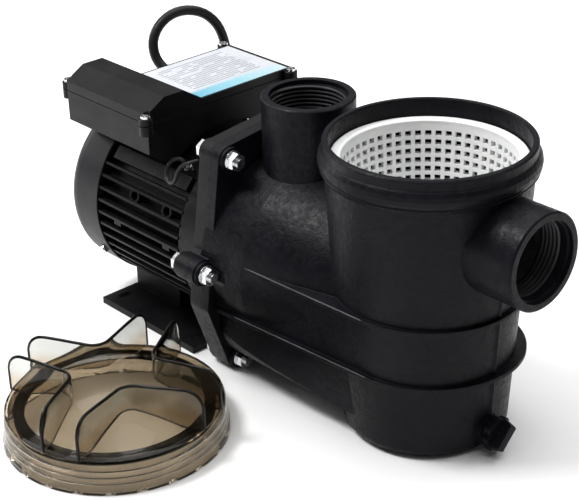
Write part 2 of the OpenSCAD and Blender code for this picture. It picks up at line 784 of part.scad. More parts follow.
module fan_clip() {
    color([0.5, 0.5, 0.52]) on_shaft(-75.2) difference() {
        tube(8, 5, 1.1);
        translate([3, -1.6, -1]) cube([8, 3.2, 4]);
    }
}

module fan_cover() {
    l = frame_rear - cover_rear;
    bend = 14;
    inner = bend - 1.6;
    color([0.2, 0.2, 0.21]) difference() {
        on_shaft(cover_rear) rotate_extrude($fn = round_fn) polygon(concat(
            [[0, 0], [cover_r - bend, 0]],
            [for (a = [-75 : 15 : 0]) [cover_r - bend + bend * cos(a), bend + bend * sin(a)]],
            [[cover_r, l], [cover_r - 1.6, l]],
            [for (a = [0 : -15 : -75]) [cover_r - bend + inner * cos(a), bend + inner * sin(a)]],
            [[cover_r - bend, 1.6], [0, 1.6]]
        ));
        for (row = [[20, 16, 12], [34, 22, 18], [50, 30, 14]], i = [0 : row[1] - 1])
            on_shaft(cover_rear - 1) rotate([0, 0, i * 360 / row[1]])
                translate([row[0], -1.6, 0]) cube([min(row[2], 64 - row[0]), 3.2, 4]);
        for (a = cover_screw_turns) on_shaft(cover_screw_x) rotate([0, 0, a]) translate([fin_r - 6, 0, 0])
            rotate([0, 90, 0]) cylinder(r = 1.7, h = 20);
    }
}

module fan_cover_screws() {
    color("silver") for (a = cover_screw_turns) on_shaft(cover_screw_x) rotate([0, 0, a])
        translate([cover_r + 2.6, 0, 0]) rotate([0, 90, 0]) pan_screw(4, 2.6, 1.5, 8);
}

// ---------- foot and fasteners ----------

module motor_foot() {
    roof = 4;
    run = slot_l - slot_w;
    color([0.11, 0.11, 0.12]) difference() {
        union() {
            translate([-foot_l / 2, -foot_w / 2, 0]) cube([foot_l, foot_w, foot_t]);
            translate([-60, -pedestal_y, 0]) cube([61, 2 * pedestal_y, pedestal_z]);
            translate([0, -24, 0]) cube([50, 48, pedestal_z]);
        }
        translate([-55, -pedestal_y + 5, -1]) cube([49, 2 * pedestal_y - 10, pedestal_z - roof + 1]);
        translate([6, -20, -1]) cube([39, 40, pedestal_z - roof + 1]);
        on_shaft(-100) cylinder(r = cover_r + 0.6, h = 100 + frame_rear, $fn = round_fn);
        for (x = [-1, 1], y = [-1, 1])
            translate([x * slot_dx / 2, y * slot_dy / 2, -1]) {
                for (s = [-1, 1]) translate([0, s * run / 2, 0]) cylinder(d = slot_w, h = foot_t + 2);
                translate([-slot_w / 2, -run / 2, 0]) cube([slot_w, run, foot_t + 2]);
            }
        at_foot_screws(0) cylinder(r = 3.3, h = 40);
    }
}

module at_foot_screws(z) {
    for (x = [-30, 30], y = [-13, 13]) translate([x, y, z]) children();
}

module foot_screws() {
    color("silver") at_foot_screws(pedestal_z - 4) rotate([180, 0, 0]) {
        hexagon(10, 4);
        translate([0, 0, -10]) cylinder(r = 3, h = 10 + eps);
    }
}

module flange_bolts() {
    head = bracket_face - boss_t - washer_t;
    color("silver") at_bolts(head) {
        translate([0, 0, -head_t]) hexagon(13, head_t);
        translate([0, 0, -eps]) cylinder(r = bolt_r, h = 2 * (flange_t + boss_t + washer_t) + nut_t + 3);
    }
}

module flange_washers() {
    color([0.8, 0.8, 0.82]) {
        at_bolts(bracket_face - boss_t - washer_t) tube(8, bolt_r + 0.2, washer_t);
        at_bolts(pump_face + boss_t) tube(8, bolt_r + 0.2, washer_t);
    }
}

module flange_nuts() {
    color("silver") at_bolts(pump_face + boss_t + washer_t) difference() {
        hexagon(13, nut_t);
        translate([0, 0, -1]) cylinder(r = bolt_r, h = nut_t + 2);
    }
}

// ---------- terminal box ----------

// A solid with the box's stepped plan from z0 to z1, drawn in by inset.
module box_plan(z0, z1, inset) {
    translate([box_rear + inset, -box_y + inset, z0])
        cube([box_front - box_rear - 2 * inset, box_y + bay_y - 2 * inset, z1 - z0]);
    translate([flat_rear + inset, bay_y - 2 * inset - eps, z0])
        cube([box_front - flat_rear - 2 * inset, box_y - bay_y + inset, z1 - z0]);
}

// The box's lower profile: upright sides that slant in under it.
module box_profile(z_top, inset) {
    translate([-100, 0, 0]) rotate([90, 0, 90]) linear_extrude(150) polygon([
        [-box_y + inset, z_top], [-box_y + inset, box_low + inset / 2], [-59 + inset, box_low - 14 + inset],
        [59 - inset, box_low - 14 + inset], [box_y - inset, box_low + inset / 2], [box_y - inset, z_top]
    ]);
}

module at_ears(z) {
    for (p = ear_spots) translate([p[0], p[1], z]) children();
}

module terminal_box_base() {
    block_foot = 182;
    color([0.11, 0.11, 0.12]) difference() {
        union() {
            difference() {
                intersection() {
                    box_plan(box_low - 14, box_split, 0);
                    box_profile(box_split, 0);
                }
                difference() {
                    intersection() {
                        box_plan(box_low - 14, box_split + 1, box_wall);
                        box_profile(box_split + 1, box_wall);
                    }
                    on_shaft(-100) cylinder(r = seat_r + box_wall, h = 150, $fn = round_fn);
                }
            }
            translate([-8, 8, block_foot - 12]) cube([32, 36, 12]);
            at_ears(box_split - 8) cylinder(r = ear_r, h = 8);
        }
        on_shaft(-100) cylinder(r = seat_r, h = 150, $fn = round_fn);
        at_ears(box_split - 9) cylinder(r = 1.6, h = 10);
        translate([flat_rear - 1, gland_y, gland_z]) rotate([0, 90, 0]) cylinder(r = 6.5, h = 6);
    }
}

module terminal_box_gasket() {
    color([0.06, 0.06, 0.06]) difference() {
        box_plan(box_split, box_split + 0.8, 0.4);
        box_plan(box_split - 1, box_split + 2, box_wall - 0.2);
    }
}

// The cover's hump over the capacitor, as a solid drawn in by inset.
module hump(inset) {
    z0 = box_split + 0.8;
    l = box_front - box_rear - 2 * inset;
    translate([box_rear + inset, 0, 0]) rotate([90, 0, 90]) linear_extrude(l) polygon([
        [-box_y + inset, z0 - (inset > 0 ? 1 : 0)], [-box_y + inset, z0 + 8 - inset / 2],
        [-60 + inset / 3, 220 - inset], [-40 - inset / 3, 220 - inset], [bay_y - inset, 208 - inset / 2],
        [bay_y - inset, z0 - (inset > 0 ? 1 : 0)]
    ]);
}

module terminal_box_cover() {
    z0 = box_split + 0.8;
    color([0.12, 0.12, 0.13]) difference() {
        union() {
            hump(0);
            translate([flat_rear, bay_y - eps, z0]) cube([box_front - flat_rear, box_y - bay_y, 6]);
            at_ears(z0) cylinder(r = ear_r, h = 5);
        }
        hump(box_wall);
        translate([flat_rear + box_wall, bay_y - 3 * box_wall, z0 - 1])
            cube([box_front - flat_rear - 2 * box_wall, box_y - bay_y + 2 * box_wall, 4.5]);
        at_ears(z0 - 1) cylinder(r = 2, h = 12);
        at_ears(z0 + 5) cylinder(r = 4.3, h = 20);
    }
}

module cover_screws() {
    color("silver") at_ears(box_split + 0.8 + 5 + 2.4) pan_screw(4, 2.4, 1.6, 13);
}

module label_plate() {
    color([0.92, 0.93, 0.94]) translate([flat_rear + 2.5, bay_y + 1, box_split + 6.8])
        cube([box_front - flat_rear - 4, box_y - bay_y - 5, 0.4]);
}

module terminal_block() {
    color([0.85, 0.83, 0.76]) difference() {
        translate([-6, 10, 182]) cube([28, 32, 14]);
        for (y = [15 : 8 : 39]) {
            translate([2, y - 2.5, 190]) cube([12, 5, 10]);
            translate([-7, y, 187]) rotate([0, 90, 0]) cylinder(r = 1.5, h = 40);
        }
    }
}

module capacitor() {
    color([0.8, 0.8, 0.8]) translate([-68, cap_y, cap_z]) rotate([0, 90, 0]) {
        cylinder(r = cap_r, h = cap_l);
        for (y = [-6, 6]) translate([-0.4, y - 3, cap_l - eps]) cube([0.8, 6, 9]);
    }
}

module capacitor_clamp() {
    color([0.25, 0.25, 0.27]) translate([-40, cap_y, cap_z]) rotate([0, 90, 0]) tube(cap_r + 1.2, cap_r, 12);
}

module earth_screw() {
    color("silver") translate([46, 0, shaft_z]) rotate([-50, 0, 0]) translate([0, -fin_r - 1, 0])
        rotate([90, 0, 0]) pan_screw(3.6, 2.4, 2, 4);
}

// A short curled wire from the earth screw up into the box's underside.
module earth_wire() {
    color([0.15, 0.15, 0.15]) sweep([
        [46, -54, 166], [44, -57, 169], [40, -61, 168], [37, -64, 163], [38, -67, 157], [42, -69, 153],
        [48, -70, 153], [53, -70, 157], [55, -69, 164], [58, -66, 170], [63, -62, 173], [66, -56, 174]
    ], 1.5, 10);
}

// ---------- cord ----------

module gland_body() {
    color([0.08, 0.08, 0.08]) translate([flat_rear - 8, gland_y, gland_z]) rotate([0, 90, 0]) {
        tube(10, cord_d / 2 + 0.6, 8);
        translate([0, 0, 8 - eps]) tube(6.4, cord_d / 2 + 0.6, 6);
    }
}

module gland_seal() {
    color([0.2, 0.2, 0.2]) translate([flat_rear - 12, gland_y, gland_z]) rotate([0, 90, 0])
        tube(7, cord_d / 2, 4);
}

module gland_nut() {
    color([0.09, 0.09, 0.09]) translate([gland_tip + 1, gland_y, gland_z]) rotate([0, 90, 0])
        rotate_extrude($fn = round_fn) polygon([
            [cord_d / 2, 0], [7, 0], [10, 4], [10, 11], [7, 11], [7, 7], [cord_d / 2, 7]
        ]);
}

module power_cord() {
    color([0.05, 0.05, 0.05]) sweep(cord_route, cord_d / 2, 10);
}

module cord_coil() {
    color([0.06, 0.06, 0.06]) translate([coil_x, coil_y, 0.1]) rotate_extrude($fn = round_fn)
        translate([coil_r - cord_d, 0]) square([2 * cord_d, coil_h]);
}

module cord_tail() {
    color([0.05, 0.05, 0.05]) sweep(tail_route, cord_d / 2, 10);
}

module cord_tie() {
    t = 1.4;
    color([0.8, 0.8, 0.78]) translate([coil_x, coil_y + coil_r - cord_d - t, 0]) rotate([90, 0, 90])
        translate([0, 0, -5]) difference() {
            cube([2 * cord_d + 2 * t, coil_h + t + 0.1, 10]);
            translate([t, -1, -1]) cube([2 * cord_d, coil_h + 1.1, 12]);
        }
}

module plug_body() {
    color([0.06, 0.06, 0.06]) translate(plug_at) {
        rotate([0, 90, 0]) cylinder(r1 = 5.2, r2 = 7.2, h = 12);
        hull() {
            translate([11.9, -8, -7]) cube([4, 16, 14]);
            translate([24, -13, -7.4]) cube([12, 26, 20]);
        }
    }
}

module plug_pins() {
    color([0.8, 0.72, 0.45]) translate(plug_at + [36, 0, 3]) {
        for (y = [-6.35, 6.35]) translate([0, y - 0.8, -3.2]) cube([16, 1.6, 6.4]);
        translate([0, 0, 7]) rotate([0, 90, 0]) cylinder(r = 2.4, h = 18);
    }
}

pump_body();
diffuser();
impeller();
motor_bracket();
body_oring();
seal_seat();
seal_head();
seal_spring();
strainer_basket();
lid();
lid_seal();
drain_plug();
drain_plug_oring();
motor_frame();
stator_core();
stator_windings();
rotor_core();
rotor_end_rings();
shaft();
shaft_slinger();
front_bearing_outer();
front_bearing_inner();
front_bearing_balls();
rear_bearing_outer();
rear_bearing_inner();
rear_bearing_balls();
wave_washer();
rear_bracket();
tie_bolts();
fan();
fan_clip();
fan_cover();
fan_cover_screws();
motor_foot();
foot_screws();
flange_bolts();
flange_washers();
flange_nuts();
terminal_box_base();
terminal_box_gasket();
terminal_box_cover();
cover_screws();
label_plate();
terminal_block();
capacitor();
capacitor_clamp();
earth_screw();
earth_wire();
gland_body();
gland_seal();
gland_nut();
power_cord();
cord_coil();
cord_tail();
cord_tie();
plug_body();
plug_pins();
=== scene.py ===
"""Looks of the pool pump: camera, lights, floor, materials and the detail that the frame leaves plain.

Every length is in metres, in the frame's own axes: +X along the motor shaft towards the suction
port, +Z up, origin under the motor foot.
"""

import json
import math

import bmesh
import bpy
from mathutils import Matrix, Vector


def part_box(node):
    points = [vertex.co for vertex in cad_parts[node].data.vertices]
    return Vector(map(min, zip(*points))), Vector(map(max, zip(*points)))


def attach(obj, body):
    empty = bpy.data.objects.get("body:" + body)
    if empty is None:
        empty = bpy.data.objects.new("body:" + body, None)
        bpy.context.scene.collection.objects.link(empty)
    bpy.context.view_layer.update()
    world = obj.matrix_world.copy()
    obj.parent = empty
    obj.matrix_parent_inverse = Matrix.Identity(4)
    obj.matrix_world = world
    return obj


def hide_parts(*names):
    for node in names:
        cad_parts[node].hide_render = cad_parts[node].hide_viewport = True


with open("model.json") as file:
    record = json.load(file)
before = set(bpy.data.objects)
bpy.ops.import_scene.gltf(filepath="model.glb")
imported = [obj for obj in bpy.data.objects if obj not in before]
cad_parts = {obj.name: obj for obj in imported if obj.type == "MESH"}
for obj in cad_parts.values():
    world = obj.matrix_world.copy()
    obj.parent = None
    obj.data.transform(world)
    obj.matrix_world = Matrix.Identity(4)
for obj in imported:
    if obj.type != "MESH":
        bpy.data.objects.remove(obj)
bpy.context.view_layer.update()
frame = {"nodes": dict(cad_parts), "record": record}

MM = 0.001
POT = Vector((263, 0, 0)) * MM
DISCHARGE_X = 136 * MM
DISCHARGE_TOP = 234 * MM
SUCTION_Z = 174 * MM
SUCTION_FACE = 372 * MM
BORE_R = 29.5 * MM
LID = Vector((109.3, -184.8, 0)) * MM
CORD_D = 9 * MM


# ---------- camera ----------

def add_camera():
    """The photo's camera. Its angles, lens and place were fitted to points that were read off the photo."""
    azimuth, elevation, roll = (math.radians(a) for a in (48.2, 27.2, -1.6))
    eye = Vector((0.9691, -0.7725, 0.6803))
    back = Vector((
        math.sin(azimuth) * math.cos(elevation),
        -math.cos(azimuth) * math.cos(elevation),
        math.sin(elevation),
    ))
    level = Vector((math.cos(azimuth), math.sin(azimuth), 0))
    upright = back.cross(level)
    right = math.cos(roll) * level + math.sin(roll) * upright
    up = math.cos(roll) * upright - math.sin(roll) * level
    data = bpy.data.cameras.new("camera")
    data.sensor_width = 36
    data.lens = 98.2
    data.shift_x = 0.006
    data.shift_y = 0.006
    data.clip_end = 50
    camera = bpy.data.objects.new("camera", data)
    place = Matrix((right, up, back)).transposed().to_4x4()
    place.translation = eye
    camera.matrix_world = place
    bpy.context.scene.collection.objects.link(camera)
    bpy.context.scene.camera = camera


# ---------- mesh helpers ----------

def new_piece(name, verts, faces, body, material, smooth_angle):
    """A mesh that rides on a body. Edges sharper than smooth_angle stay crisp."""
    mesh = bpy.data.meshes.new(name)
    mesh.from_pydata([tuple(v) for v in verts], [], faces)
    mesh.validate()
    form = bmesh.new()
    form.from_mesh(mesh)
    bmesh.ops.remove_doubles(form, verts=form.verts, dist=1e-6)
    bmesh.ops.recalc_face_normals(form, faces=form.faces)
    form.to_mesh(mesh)
    form.free()
    mesh.shade_smooth()
    mesh.set_sharp_from_angle(angle=math.radians(smooth_angle))
    piece = bpy.data.objects.new(name, mesh)
    piece.data.materials.append(material)
    bpy.context.scene.collection.objects.link(piece)
    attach(piece, body)
    return piece


def revolve(profile, count, place, bend=None):
    """Turns (radius, height) points about +Z. Points at radius 0 become single vertices.
    bend(radius, height, angle) may move each point. place maps a point into the frame."""
    verts, rings, faces = [], [], []
    for radius, height in profile:
        if radius < 1e-9:
            rings.append([len(verts)] * count)
            verts.append(place(Vector((0, 0, height))))
            continue
        rings.append(list(range(len(verts), len(verts) + count)))
        for i in range(count):
            angle = 2 * math.pi * i / count
            r, z = bend(radius, height, angle) if bend else (radius, height)
            verts.append(place(Vector((r * math.cos(angle), r * math.sin(angle), z))))
    for low, high in zip(rings, rings[1:]):
        for i in range(count):
            j = (i + 1) % count
            face = [low[i], low[j], high[j], high[i]]
            faces.append([v for k, v in enumerate(face) if v != face[k - 1]])
    return verts, faces


def close_profile(profile):
    return profile + [profile[0]]


def skin(rings, sides):
    """Faces over a stack of closed rings with that many vertices each, capped at both ends."""
    faces = []
    for ring in range(rings - 1):
        low, high = ring * sides, (ring + 1) * sides
        for k in range(sides):
            j = (k + 1) % sides
            faces.append([low + k, low + j, high + j, high + k])
    faces.append(list(range(sides))[::-1])
    faces.append([(rings - 1) * sides + k for k in range(sides)])
    return faces


def join(verts, faces, more):
    """Adds another shape's (vertices, faces) to the two lists."""
    faces += [[v + len(verts) for v in face] for face in more[1]]
    verts += more[0]


def circle(centre, side, over, radius, sides):
    """The vertices of a ring round centre, in the plane of side and over."""
    turns = [2 * math.pi * k / sides for k in range(sides)]
    return [centre + radius * (math.cos(a) * side + math.sin(a) * over) for a in turns]


def tube(path, radius, sides=12):
    """A round tube along a path, as (vertices, faces), closed at both ends."""
    verts = []
    side = Vector((0.6, 0.8, 0.1))
    for i, point in enumerate(path):
        along = (path[min(i + 1, len(path) - 1)] - path[max(i - 1, 0)]).normalized()
        side = (side - along * side.dot(along)).normalized()
        verts += circle(point, side, side.cross(along), radius, sides)
    return verts, skin(len(path), sides)


def smooth_path(points, steps):
    """A Catmull-Rom curve through the points, with steps pieces between each two."""
    ends = [2 * points[0] - points[1], *points, 2 * points[-1] - points[-2]]
    path = []
    for a, b, c, d in zip(ends, ends[1:], ends[2:], ends[3:]):
        for k in range(steps):
            t = k / steps
            path.append(0.5 * (
                2 * b + (c - a) * t + (2 * a - 5 * b + 4 * c - d) * t * t
                + (3 * b - a - 3 * c + d) * t * t * t
            ))
    path.append(points[-1])
    return path


def ease(low, high, value):
    """0 before low, 1 after high, and a smooth step between."""
    t = min(max((value - low) / (high - low), 0), 1)
    return t * t * (3 - 2 * t)


# ---------- materials ----------

class Shader:
    """A Principled material with short calls for the nodes that the finishes share."""

    def __init__(self, name):
        self.material = bpy.data.materials.new(name)
        self.material.use_nodes = True
        self.tree = self.material.node_tree
        self.tree.nodes.clear()
        self.bsdf = self.tree.nodes.new("ShaderNodeBsdfPrincipled")
        out = self.tree.nodes.new("ShaderNodeOutputMaterial")
        self.link(self.bsdf.outputs[0], out.inputs[0])
        self.place = self.tree.nodes.new("ShaderNodeTexCoord").outputs["Object"]

    def link(self, a, b):
        self.tree.links.new(a, b)

    def feed(self, socket, value):
        """Links an output to the socket, or sets a number or an RGB colour on it."""
        if isinstance(value, bpy.types.NodeSocket):
            self.link(value, socket)
        elif isinstance(value, tuple):
            socket.default_value = (*value, 1)
        else:
            socket.default_value = value

    def set(self, **values):
        for key, value in values.items():
            self.bsdf.inputs[key.replace("_", " ")].default_value = value
        return self

    def noise(self, scale, detail, stretch=(1, 1, 1)):
        mapping = self.tree.nodes.new("ShaderNodeMapping")
        mapping.inputs["Scale"].default_value = stretch
        self.link(self.place, mapping.inputs["Vector"])
        node = self.tree.nodes.new("ShaderNodeTexNoise")
        node.inputs["Scale"].default_value = scale
        node.inputs["Detail"].default_value = detail
        self.link(mapping.outputs[0], node.inputs["Vector"])
        return node.outputs["Fac"]

    def ramp(self, value, stops):
        node = self.tree.nodes.new("ShaderNodeValToRGB")
        marks = node.color_ramp.elements
        while len(marks) < len(stops):
            marks.new(0.5)
        for mark, (at, colour) in zip(marks, stops):
            mark.position = at
            mark.color = (*colour, 1)
        self.link(value, node.inputs[0])
        return node.outputs[0]

    def spread(self, value, low, high):
        """value from 0.3..0.7 carried on to low..high."""
        node = self.tree.nodes.new("ShaderNodeMapRange")
        node.inputs["From Min"].default_value = 0.3
        node.inputs["From Max"].default_value = 0.7
        node.inputs["To Min"].default_value = low
        node.inputs["To Max"].default_value = high
        self.link(value, node.inputs["Value"])
        return node.outputs[0]

    def math(self, operation, a, b=0.0):
        node = self.tree.nodes.new("ShaderNodeMath")
        node.operation = operation
        self.feed(node.inputs[0], a)
        self.feed(node.inputs[1], b)
        return node.outputs[0]

    def mix(self, share, a, b, blend="MIX"):
        node = self.tree.nodes.new("ShaderNodeMix")
        node.data_type = "RGBA"
        node.blend_type = blend
        self.feed(node.inputs["Factor"], share)
        self.feed(node.inputs[6], a)
        self.feed(node.inputs[7], b)
        return node.outputs[2]

    def colour(self, output):
        self.link(output, self.bsdf.inputs["Base Color"])
        return self

    def roughness(self, output):
        self.link(output, self.bsdf.inputs["Roughness"])
        return self

    def relief(self, height, depth, edge=0.0):
        """Bump of that depth in metres; edge rounds the mesh's corners in the shading."""
        bump = self.tree.nodes.new("ShaderNodeBump")
        bump.inputs["Distance"].default_value = depth
        bump.inputs["Strength"].default_value = 1.0
        self.link(height, bump.inputs["Height"])
        if edge:
            bevel = self.tree.nodes.new("ShaderNodeBevel")
            bevel.samples = 4
            bevel.inputs["Radius"].default_value = edge
            self.link(bevel.outputs[0], bump.inputs["Normal"])
        self.link(bump.outputs[0], self.bsdf.inputs["Normal"])
        return self


def moulded(name, dark, light, rough, grain, depth):
    """Moulded, painted or rubber surfaces: fine grain, cloudy tone and uneven gloss."""
    s = Shader(name)
    s.colour(s.ramp(s.noise(38, 4), [(0.3, dark), (0.7, light)]))
    s.roughness(s.spread(s.noise(90, 5), *rough))
    s.relief(s.noise(grain, 3), depth, 0.8 * MM)
    return s.set(Specular_IOR_Level=0.15).material


def mottled_body():
    """The pump's moulded skin: coarse leathery mottling over a fine grain."""
    s = Shader("body_plastic")
    coarse = s.noise(230, 4)
    fine = s.noise(700, 2)
    s.colour(s.ramp(s.noise(38, 4), [(0.3, (0.003, 0.003, 0.0045)), (0.7, (0.006, 0.006, 0.009))]))
    s.roughness(s.spread(coarse, 0.30, 0.54))
    s.relief(s.math("ADD", coarse, s.math("MULTIPLY", fine, 0.35)), 0.4 * MM, 1.2 * MM)
    return s.set(Specular_IOR_Level=0.12).material


def metal(name, dark, light, rough, stretch=(1, 1, 1), depth=0.00002):
    """Bare or plated metal with faint brushing."""
    s = Shader(name)
    cloud, brushing = 120, 600
    s.colour(s.ramp(s.noise(cloud, 3, stretch), [(0.3, dark), (0.7, light)]))
    s.roughness(s.spread(s.noise(brushing, 4, stretch), *rough))
    s.relief(s.noise(brushing, 2, stretch), depth, 0.5 * MM)
    return s.set(Metallic=1.0).material


def clear_plastic():
    """Smoke-tinted polycarbonate: brown in the skirt and dome, greyer in the thin walls, with painted shade
    darkening it where it is seen edge on.
    """
    s = Shader("smoked_clear")
    parts = s.tree.nodes.new("ShaderNodeSeparateXYZ")
    s.link(s.place, parts.inputs[0])
    ramp_height = 60 * MM
    height = s.math("DIVIDE", parts.outputs["Z"], ramp_height)
    skirt, dome, walls = (0.62, 0.545, 0.44), (0.55, 0.48, 0.38), (0.62, 0.625, 0.60)
    body = s.ramp(height, [(0.0, skirt), (0.62, dome), (0.8, walls)])
    cloud = s.ramp(s.noise(25, 2), [(0.3, (0.94, 0.94, 0.94)), (0.7, (1.0, 1.0, 1.0))])
    tinted = s.mix(1.0, body, cloud, "MULTIPLY")
    # Painted shade: the base colour goes dark brown where the surface is seen edge on, standing in for
    # light lost inside the tinted sheet.
    facing = s.tree.nodes.new("ShaderNodeLayerWeight")
    facing.inputs["Blend"].default_value = 0.3
    edge = s.ramp(facing.outputs["Facing"], [(0.45, (0, 0, 0)), (0.95, (1, 1, 1))])
    s.colour(s.mix(edge, tinted, (0.10, 0.085, 0.065)))
    s.roughness(s.spread(s.noise(60, 3), 0.02, 0.06))
    s.relief(s.noise(70, 2), 0.00008)
    return s.set(Transmission_Weight=1.0, IOR=1.28).material


def white_basket():
    s = Shader("basket_polypropylene")
    s.colour(s.ramp(s.noise(60, 3), [(0.3, (0.90, 0.91, 0.91)), (0.7, (0.95, 0.95, 0.94))]))
    s.roughness(s.spread(s.noise(120, 3), 0.3, 0.45))
    s.relief(s.noise(300, 2), 0.00004, 0.0003)
    return s.set(Specular_IOR_Level=0.5).material


def printed_label():
    """White film with generic rows of grey dashes and one blue stripe along its front edge."""
    low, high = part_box("label_plate")
    s = Shader("label_film")
    parts = s.tree.nodes.new("ShaderNodeSeparateXYZ")
    s.link(s.place, parts.inputs[0])
    x, y = parts.outputs["X"], parts.outputs["Y"]
    row_pitch, inked_share = 3.6 * MM, 0.45
    row_step, word_scale, word_level = 7.3, 80, 0.42
    margin, stripe, soft_edge = 7 * MM, 16 * MM, 5 * MM
    row = s.math("DIVIDE", s.math("SUBTRACT", x, low.x), row_pitch)
    in_row = s.math("LESS_THAN", s.math("FRACT", row), inked_share)
    spot = s.tree.nodes.new("ShaderNodeCombineXYZ")
    s.link(s.math("MULTIPLY", s.math("FLOOR", row), row_step), spot.inputs["X"])
    s.link(s.math("MULTIPLY", y, word_scale), spot.inputs["Y"])
    words = s.tree.nodes.new("ShaderNodeTexNoise")
    words.inputs["Scale"].default_value = 1.0
    words.inputs["Detail"].default_value = 1.0
    s.link(spot.outputs[0], words.inputs["Vector"])
    dash = s.math("GREATER_THAN", words.outputs["Fac"], word_level)
    inside = s.math("MULTIPLY",
                    s.math("GREATER_THAN", y, low.y + margin),
                    s.math("LESS_THAN", y, high.y - 2 * margin))
    rows_end = s.math("LESS_THAN", x, high.x - stripe - 1 * MM)
    rows_start = s.math("GREATER_THAN", x, low.x + margin)
    ink = s.math("MULTIPLY", s.math("MULTIPLY", in_row, dash),
                 s.math("MULTIPLY", inside, s.math("MULTIPLY", rows_end, rows_start)))
    paper = s.ramp(s.noise(30, 2), [(0.3, (0.50, 0.52, 0.55)), (0.7, (0.57, 0.59, 0.62))])
    with_ink = s.mix(s.math("MULTIPLY", ink, 0.7), paper, (0.22, 0.23, 0.26))
    along = s.math("DIVIDE", s.math("SUBTRACT", y, low.y), high.y - low.y)
    tint = s.ramp(along, [(0.0, (0.15, 0.38, 0.50)), (0.5, (0.28, 0.50, 0.58)), (1.0, (0.48, 0.58, 0.62))])
    in_stripe = s.math("DIVIDE", s.math("SUBTRACT", x, high.x - stripe), soft_edge)
    s.colour(s.mix(in_stripe, with_ink, tint))
    s.roughness(s.spread(s.noise(200, 2), 0.22, 0.34))
    s.relief(s.noise(500, 2), 0.00002)
    return s.set(Specular_IOR_Level=0.5).material


def wound_copper():
    s = Shader("copper_windings")
    s.colour(s.ramp(s.noise(200, 4, (0.2, 1, 1)), [(0.35, (0.36, 0.13, 0.04)), (0.65, (0.72, 0.34, 0.14))]))
    s.roughness(s.spread(s.noise(300, 2), 0.25, 0.4))
    s.relief(s.noise(900, 2, (0.2, 1, 1)), 0.0003)
    return s.set(Metallic=1.0).material


def laminated_steel():
    s = Shader("laminated_steel")
    wave = s.tree.nodes.new("ShaderNodeTexWave")
    wave.bands_direction = "X"
    wave.inputs["Scale"].default_value = 320
    s.link(s.place, wave.inputs["Vector"])
    s.colour(s.ramp(wave.outputs["Fac"], [(0.2, (0.12, 0.12, 0.13)), (0.8, (0.34, 0.34, 0.36))]))
    s.roughness(s.spread(s.noise(400, 2), 0.35, 0.55))
    s.relief(wave.outputs["Fac"], 0.00008)
    return s.set(Metallic=1.0).material


